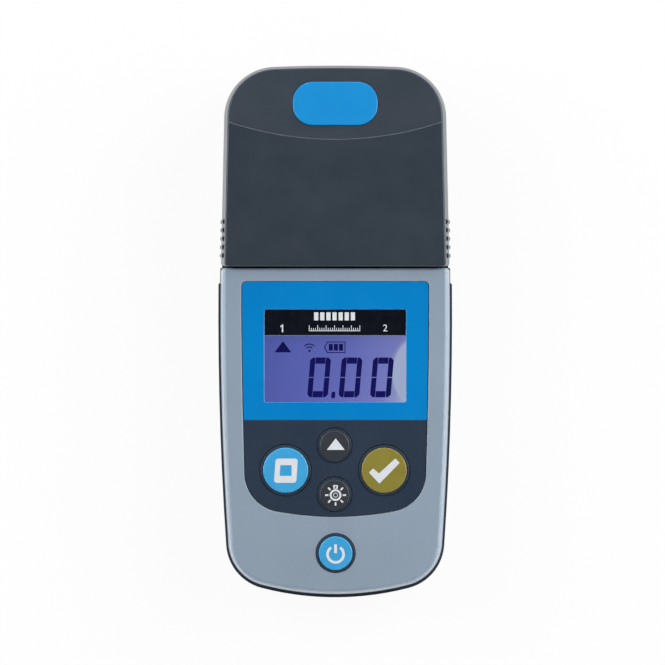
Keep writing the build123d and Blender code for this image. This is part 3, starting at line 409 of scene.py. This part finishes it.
finishes = {
    "front_shell": silver_abs(),
    "dark_shell": charcoal_abs(),
    "blue_plate": blue_overlay(),
    "key_plate": keypad_overlay(),
    "badge": badge_blue(),
    "black_print": header_black(),
    "window": clear_acrylic(),
    "display": lit_display(),
    "light_guide": plain_plastic("frosted_acrylic_guide", ("#a9aada", "#b8b9e4")),
    "key_rubber": key_rubber(),
    "key_blue": key_cap_abs("sky_blue_abs", ("#3ba1d8", "#42a8de")),
    "key_olive": key_cap_abs("olive_abs", ("#887e33", "#908639")),
    "key_black": key_cap_abs("warm_black_abs", ("#32353c", "#383b42")),
    "seal_rubber": seal_rubber(),
    "steel": metal("stainless_screw_steel", ("#8d8f90", "#a7a9aa"), (0.28, 0.4), (1.0, 1.0, 3.0), 0.004),
    "brass": metal("turned_brass", ("#b08d4c", "#c7a463"), (0.25, 0.38), (1.0, 1.0, 4.0), 0.01),
    "circuit_board": circuit_board(),
    "chip": plain_plastic("epoxy_chip_body", ("#131315", "#1a1a1c")),
    "white_plastic": plain_plastic("white_polycarbonate", ("#d4d4cf", "#dfdfda")),
    "black_plastic": plain_plastic("matt_black_polyamide", ("#101012", "#17171a")),
    "lens_glass": optical_glass("polished_lens_glass", ("#e8f0f2", "#f3f8fa")),
    "filter_glass": optical_glass("interference_filter_glass", ("#a97bbd", "#b98bcb")),
    "lamp_resin": optical_glass("clear_lamp_resin", ("#dfe9f2", "#ebf2f8")),
    "can_metal": metal("nickel_plated_can", ("#a3a3a0", "#b8b8b4"), (0.24, 0.34), (1.0, 2.0, 1.0), 0.002),
    "ribbon": plain_plastic("flat_flex_polyester", ("#c3bfb2", "#d1cdc1")),
    "battery_jacket": battery_jacket(),
    "contact_metal": metal(
        "nickel_plated_spring_steel", ("#a9a9a8", "#bdbdbb"), (0.16, 0.28), (1.0, 3.0, 1.0), 0.002
    ),
}
white_print = white_ink()
hairline_finish = light_grey_hairline()
segment_print = segment_ink()

for part in frame["record"]["subparts"]:
    node = nodes[part["node"]]
    node.data.materials.clear()
    node.data.materials.append(finishes[part["material_slot"]])


# Outlines of printed marks, in millimetres round their own middle


def circle_outline(radius, centre=(0.0, 0.0), steps=48):
    """Closed circle."""
    turns = [2 * pi * step / steps for step in range(steps)]
    return [(centre[0] + radius * cos(turn), centre[1] + radius * sin(turn)) for turn in turns]


def arc_band(radius, width, start, end, steps=40):
    """Closed band along an arc, with angles in degrees from the right, anticlockwise."""
    turns = [radians(start + (end - start) * step / steps) for step in range(steps + 1)]
    outer = [((radius + width / 2) * cos(turn), (radius + width / 2) * sin(turn)) for turn in turns]
    inner = [((radius - width / 2) * cos(turn), (radius - width / 2) * sin(turn)) for turn in turns]
    return outer + inner[::-1]


def rounded(corners, radius):
    """Closed outline through the corners, each rounded to a radius that its sides allow."""
    points = []
    count = len(corners)
    for index, corner in enumerate(corners):
        here = Vector(corner)
        back = Vector(corners[index - 1]) - here
        ahead = Vector(corners[(index + 1) % count]) - here
        reach = min(radius, back.length / 2, ahead.length / 2)
        start = here + back.normalized() * reach
        end = here + ahead.normalized() * reach
        for step in range(curve_steps + 1):
            share = step / curve_steps
            point = start * (1 - share) ** 2 + here * 2 * share * (1 - share) + end * share**2
            points.append((point.x, point.y))
    return points


def bar(start, end, width):
    """Corners of a straight bar between two points."""
    along = Vector((end[0] - start[0], end[1] - start[1])).normalized()
    side = Vector((-along.y, along.x)) * width / 2
    first = Vector(start)
    last = Vector(end)
    return [tuple(p) for p in (first + side, first - side, last - side, last + side)]


def moved(outline, x, y):
    """Outline carried to another place."""
    return [(point[0] + x, point[1] + y) for point in outline]


def printed(name, outlines, spot, z, finish, body):
    """Flat printed mark on a surface; an outline inside another is a hole in it."""
    line = bpy.data.curves.new(name + "_outline", "CURVE")
    line.dimensions = "2D"
    line.fill_mode = "BOTH"
    line.extrude = ink_thick / 2 * mm
    for outline in outlines:
        spline = line.splines.new("POLY")
        spline.points.add(len(outline) - 1)
        for point, (x, y) in zip(spline.points, outline):
            point.co = (x * mm, y * mm, 0.0, 1.0)
        spline.use_cyclic_u = True
    finish_print(name, line, spot, z, finish, body)


def finish_print(name, line, spot, z, finish, body):
    """Turns a filled curve or a figure into a mesh, places it and lets it ride on a body."""
    template = bpy.data.objects.new(name + "_template", line)
    bpy.context.scene.collection.objects.link(template)
    mesh = bpy.data.meshes.new_from_object(template)
    bpy.data.objects.remove(template)
    mesh.name = name
    mesh.materials.clear()
    mesh.materials.append(finish)
    piece = bpy.data.objects.new(name, mesh)
    bpy.context.scene.collection.objects.link(piece)
    piece.location = (spot[0], spot[1], z + (ink_lift + ink_thick / 2) * mm)
    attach(piece, body)


# Symbols on the keys


def on_cap(key):
    """Middle and height of the top of a key's cap."""
    low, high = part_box(f"{key}_key_cap")
    return ((low.x + high.x) / 2, (low.y + high.y) / 2), high.z


def key_symbol(key, name, outlines, shift=(0.0, 0.0)):
    """White symbol on a key's cap that moves with the key."""
    (x, y), z = on_cap(key)
    spot = (x + shift[0] * mm, y + shift[1] * mm)
    printed(name, outlines, spot, z, white_print, f"{key}_button")


def zero_symbol():
    """Square frame that leans a little, with an upright square hole."""
    outer = [(-2.95, 3.45), (3.6, 3.45), (3.15, -3.7), (-3.45, -3.7)]
    inner = [(-1.55, 1.5), (1.75, 1.5), (1.75, -1.65), (-1.75, -1.65)]
    key_symbol("zero", "zero_symbol", [rounded(outer, 1.0), rounded(inner, 0.15)])


def read_symbol():
    """Check mark with a short and a long arm of one width."""
    tick = [(-4.5, -0.65), (-3.2, 0.55), (-1.55, -0.95), (3.3, 3.5), (4.6, 2.2), (-1.4, -3.95)]
    key_symbol("read", "read_symbol", [rounded(tick, 0.3)])


def up_symbol():
    """Solid triangle that points to the cap."""
    triangle = [(-2.65, -1.3), (2.65, -1.3), (0.0, 2.1)]
    key_symbol("up", "up_symbol", [rounded(triangle, 0.15)], (0.35, 0.0))


def light_symbol():
    """Lamp: a ring with a small ring inside, seven rays and a socket at the top."""
    outlines = [circle_outline(1.72), circle_outline(1.14), circle_outline(0.7), circle_outline(0.5)]
    for turn in (-180, -135, -90, -45, 0, 45, 135):
        way = Vector((cos(radians(turn)), sin(radians(turn))))
        outlines.append(rounded(bar(way * 2.1, way * 3.1, 0.5), 0.1))
    outlines.append(rounded([(-0.62, 1.85), (0.62, 1.85), (0.72, 2.95), (-0.72, 2.95)], 0.15))
    outlines.append(rounded([(-0.2, 2.0), (0.2, 2.0), (0.2, 2.6), (-0.2, 2.6)], 0.05))
    key_symbol("light", "light_symbol", outlines, (0.3, -0.2))


def power_symbol():
    """Standby sign: an open ring with a bar in its gap."""
    ring = arc_band(2.36, 0.78, 90 + 33, 450 - 33)
    stem = rounded(bar((0.0, 0.35), (0.0, 2.95), 0.86), 0.12)
    key_symbol("power", "power_symbol", [ring, stem], (0.0, -0.35))


zero_symbol()
read_symbol()
up_symbol()
light_symbol()
power_symbol()


# Display: dark segments on the lit glass


glass_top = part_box("display_glass")[1].z
digit_width = 6.1
digit_height = 11.75
digit_pitch = 9.25
digit_lean = 0.086
digit_left = -8.3
digit_foot = -19.45
upright_stroke = 1.5
level_stroke = 1.85
segment_gap = 0.08
segment_corner = 0.8


def lean(outline):
    """Outline sheared to the right with its height, as the digits lean."""
    return [(x + digit_lean * y, y) for x, y in outline]


def zero_digit():
    """Six segments of a 0, in millimetres from its lower left corner."""
    half = digit_height / 2
    right = digit_width - upright_stroke
    outlines = []
    for mirror_x in (False, True):
        for mirror_y in (False, True):
            corners = [
                (0.0, half + segment_gap),
                (upright_stroke / 2, half + 2 * segment_gap),
                (upright_stroke, half + segment_gap),
                (upright_stroke, digit_height - level_stroke / 2),
                (upright_stroke - segment_gap, digit_height),
                (segment_corner, digit_height),
                (0.0, digit_height - segment_corner),
            ]
            if mirror_x:
                corners = [(digit_width - x, y) for x, y in corners]
            if mirror_y:
                corners = [(x, digit_height - y) for x, y in corners]
            outlines.append(rounded(corners, 0.25))
    for low in (0.0, digit_height - level_stroke):
        level = [
            (upright_stroke + segment_gap, low),
            (right - segment_gap, low),
            (right - segment_gap, low + level_stroke),
            (upright_stroke + segment_gap, low + level_stroke),
        ]
        outlines.append(rounded(level, 0.12))
    return [lean(outline) for outline in outlines]


def display_mark(name, outlines, x=0.0, y=0.0):
    """Dark mark of the display, on the glass."""
    spot = (x * mm, y * mm)
    printed(name, outlines, spot, glass_top, segment_print, "case")


for number in range(3):
    display_mark(f"display_digit_{number + 1}", zero_digit(), digit_left + number * digit_pitch, digit_foot)

point_outline = rounded([(-0.62, -0.95), (0.52, -0.95), (0.68, 0.95), (-0.46, 0.95)], 0.4)
display_mark("decimal_point", [point_outline], -0.6, -18.75)
marker_outline = rounded([(-2.45, -1.65), (2.45, -1.65), (0.0, 1.65)], 0.15)
display_mark("display_marker", [marker_outline], -15.4, -4.55)


def battery_sign():
    """Battery outline with a pointed end and three charge bars."""
    outlines = [
        [(-3.3, 0.0), (-2.4, 1.68), (3.0, 1.68), (3.0, -1.68), (-2.4, -1.68)],
        [(-2.95, 0.0), (-2.25, 1.42), (2.74, 1.42), (2.74, -1.42), (-2.25, -1.42)],
    ]
    for left in (-1.9, -0.4, 1.1):
        outlines.append([(left, 1.0), (left + 1.2, 1.0), (left + 1.2, -1.0), (left, -1.0)])
    return outlines


def signal_sign():
    """Generic radio sign: a dot with two arcs above it."""
    dot = circle_outline(0.34, (0.0, -1.3), 20)
    arcs = [arc_band(radius, 0.32, 42, 138, 16) for radius in (1.15, 2.0)]
    return [dot, *[moved(arc, 0.0, -1.3) for arc in arcs]]


display_mark("battery_sign", battery_sign(), 0.0, -4.7)
display_mark("signal_sign", signal_sign(), -7.6, -4.45)


# Header strip: plain numbers, a row of blocks and a fine scale


header_low, header_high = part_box("display_header")


def header_mark(name, outlines, x, y):
    """White mark on the black header strip."""
    printed(name, outlines, (x * mm, y * mm), header_high.z, white_print, "case")


def number_two(name, x, y, size):
    """Plain 2 on the header strip."""
    line = bpy.data.curves.new(name + "_figure", "FONT")
    line.body = "2"
    line.size = size * mm
    line.align_x = "CENTER"
    line.align_y = "CENTER"
    line.extrude = ink_thick / 2 * mm
    spot = (x * mm, y * mm)
    finish_print(name, line, spot, header_high.z, white_print, "case")


def block_row(count, pitch, width, height):
    """Row of upright blocks with rounded corners."""
    first = -(count - 1) * pitch / 2
    outlines = []
    for number in range(count):
        x = first + number * pitch
        corners = [
            (x - width / 2, -height / 2),
            (x + width / 2, -height / 2),
            (x + width / 2, height / 2),
            (x - width / 2, height / 2),
        ]
        outlines.append(rounded(corners, 0.2))
    return outlines


def fine_scale(count, pitch, height):
    """Ruler of fine strokes, every fourth one full height, over a base line."""
    half = (count - 1) * pitch / 2
    foot = -height / 2
    edge = 0.1
    base_top = foot + 0.2
    stroke_foot = foot + 0.25
    short_top = 0.1
    end = half + edge
    outlines = [[(-end, foot), (end, foot), (end, base_top), (-end, base_top)]]
    for number in range(count):
        x = number * pitch - half
        top = height / 2 if number % 4 == 0 else short_top
        outlines.append([(x - edge, stroke_foot), (x + edge, stroke_foot), (x + edge, top), (x - edge, top)])
    return outlines


header_mark("level_blocks", block_row(7, 1.8, 1.25, 2.4), -0.2, 4.4)
header_mark("level_scale", fine_scale(25, 0.62, 1.7), -0.2, 0.9)
# A 1 is an upright with a short flag at its head
one_outline = [
    (0.28, -1.1), (0.28, 1.1), (0.0, 1.1), (-0.55, 0.66), (-0.55, 0.3), (-0.12, 0.58), (-0.12, -1.1),
]
header_mark("marker_number_1", [one_outline], -15.6, 0.87)
number_two("marker_number_2", 14.7, 0.87, 2.9)

# Thin light grey line along the lower edge of the header, next to the display
line_half = (header_high.x - header_low.x) / 2 / mm
line_width = 0.2
hairline = [(-line_half, 0.0), (line_half, 0.0), (line_half, line_width), (-line_half, line_width)]
line_spot = (0.0, header_low.y)
printed("header_hairline", [hairline], line_spot, header_high.z, hairline_finish, "case")


# Camera, floor and lights


def make_camera():
    """Long lens straight in front of the face, with the cap end at the top of the picture."""
    data = bpy.data.cameras.new("camera")
    data.sensor_width = sensor_width
    data.lens = sensor_width * camera_distance / photo_width_mm
    data.clip_start = 0.1
    data.clip_end = 20.0
    camera = bpy.data.objects.new("camera", data)
    bpy.context.scene.collection.objects.link(camera)
    camera.location = (camera_spot[0] * mm, camera_spot[1] * mm, (view_height_z + camera_distance) * mm)
    bpy.context.scene.camera = camera


def floor_paper():
    """Matt white paper: seen or mirrored it is near white and keeps a soft share of the shadow."""
    material = bpy.data.materials.new("matt_white_paper")
    material.use_nodes = True
    tree = material.node_tree
    tree.nodes.clear()
    path = add_node(tree, "ShaderNodeLightPath")
    seen = add_node(
        tree,
        "ShaderNodeMath",
        {0: path.outputs["Is Camera Ray"], 1: path.outputs["Is Glossy Ray"]},
        operation="MAXIMUM",
    )
    shown = add_node(
        tree,
        "ShaderNodeMath",
        {0: seen.outputs[0], 1: path.outputs["Is Transmission Ray"]},
        operation="MAXIMUM",
    )
    share = add_node(tree, "ShaderNodeMath", {0: shown.outputs[0], 1: floor_glow}, operation="MULTIPLY")
    paper = add_node(tree, "ShaderNodeBsdfDiffuse", {"Color": hex_colour("#f6f6f6")})
    glow = add_node(tree, "ShaderNodeEmission", {"Color": (1.0, 1.0, 1.0, 1.0), "Strength": 1.0})
    lit = add_node(
        tree, "ShaderNodeMixShader", {0: share.outputs[0], 1: paper.outputs[0], 2: glow.outputs[0]}
    )
    # From below the paper is clear, so that the back of the object can be looked at
    side = add_node(tree, "ShaderNodeNewGeometry")
    clear = add_node(tree, "ShaderNodeBsdfTransparent")
    whole = add_node(
        tree, "ShaderNodeMixShader", {0: side.outputs["Backfacing"], 1: lit.outputs[0], 2: clear.outputs[0]}
    )
    add_node(tree, "ShaderNodeOutputMaterial", {"Surface": whole.outputs[0]})
    return material


def make_floor():
    """Wide pale floor just under the back."""
    half = floor_half_width * mm
    depth = -floor_depth * mm
    mesh = bpy.data.meshes.new("floor")
    corners = [(-half, -half, depth), (half, -half, depth), (half, half, depth), (-half, half, depth)]
    mesh.from_pydata(corners, [], [(0, 1, 2, 3)])
    mesh.materials.append(floor_paper())
    floor = bpy.data.objects.new("floor", mesh)
    bpy.context.scene.collection.objects.link(floor)
    floor.visible_diffuse = False
    floor.visible_shadow = False


def soft_lamp(name, spot, aim, size, power):
    """Softbox at a spot, in metres, that shines at an aim."""
    data = bpy.data.lights.new(name, "AREA")
    data.shape = "RECTANGLE"
    data.size = size[0]
    data.size_y = size[1]
    data.energy = power
    lamp = bpy.data.objects.new(name, data)
    bpy.context.scene.collection.objects.link(lamp)
    lamp.location = spot
    lamp.rotation_mode = "QUATERNION"
    lamp.rotation_quaternion = (Vector(aim) - Vector(spot)).to_track_quat("-Z", "Y")
    lamp.visible_camera = False


def make_world():
    """White tent: bright round the horizon, dark overhead, and plain white behind the object."""
    world = bpy.data.worlds.new("white_tent")
    bpy.context.scene.world = world
    world.use_nodes = True
    tree = world.node_tree
    tree.nodes.clear()
    place = add_node(tree, "ShaderNodeTexCoord")
    parts = add_node(tree, "ShaderNodeSeparateXYZ", {0: place.outputs["Generated"]})
    height = add_node(tree, "ShaderNodeMath", {0: parts.outputs["Z"]}, operation="ABSOLUTE")
    level = add_node(
        tree,
        "ShaderNodeMapRange",
        {
            "Value": height.outputs[0],
            "From Min": tent_horizon,
            "From Max": tent_overhead,
            "To Min": horizon_strength,
            "To Max": overhead_strength,
        },
    )
    path = add_node(tree, "ShaderNodeLightPath")
    strength = add_node(
        tree,
        "ShaderNodeMath",
        {0: level.outputs[0], 1: path.outputs["Is Camera Ray"]},
        operation="MAXIMUM",
    )
    tent = add_node(
        tree, "ShaderNodeBackground", {"Color": (1.0, 1.0, 1.0, 1.0), "Strength": strength.outputs[0]}
    )
    add_node(tree, "ShaderNodeOutputWorld", {"Surface": tent.outputs[0]})


def make_lights():
    """A softbox at each side, low bright panels all round for the edges, and one below for the back."""
    soft_lamp("left_softbox", (-0.88, 0.4, 0.75), (0.0, 0.0, 0.0), (0.9, 0.9), 9.3)
    soft_lamp("right_softbox", (0.88, 0.4, 0.75), (0.0, 0.0, 0.0), (0.9, 0.9), 11.4)
    soft_lamp("left_panel", (-0.8, 0.0, 0.1), (0.0, 0.0, 0.02), (0.9, 0.12), 1.2)
    soft_lamp("right_panel", (0.8, 0.0, 0.1), (0.0, 0.0, 0.02), (0.9, 0.12), 2.0)
    soft_lamp("head_panel", (0.0, 0.8, 0.1), (0.0, 0.0, 0.02), (0.9, 0.12), 1.6)
    soft_lamp("foot_panel", (0.0, -0.8, 0.1), (0.0, 0.0, 0.02), (0.9, 0.12), 1.2)
    soft_lamp("under_softbox", (-0.3, -0.3, -1.0), (0.0, 0.0, 0.0), (0.8, 0.8), 6.0)


make_camera()
make_floor()
make_world()
make_lights()
bpy.context.scene.view_settings.view_transform = "Standard"
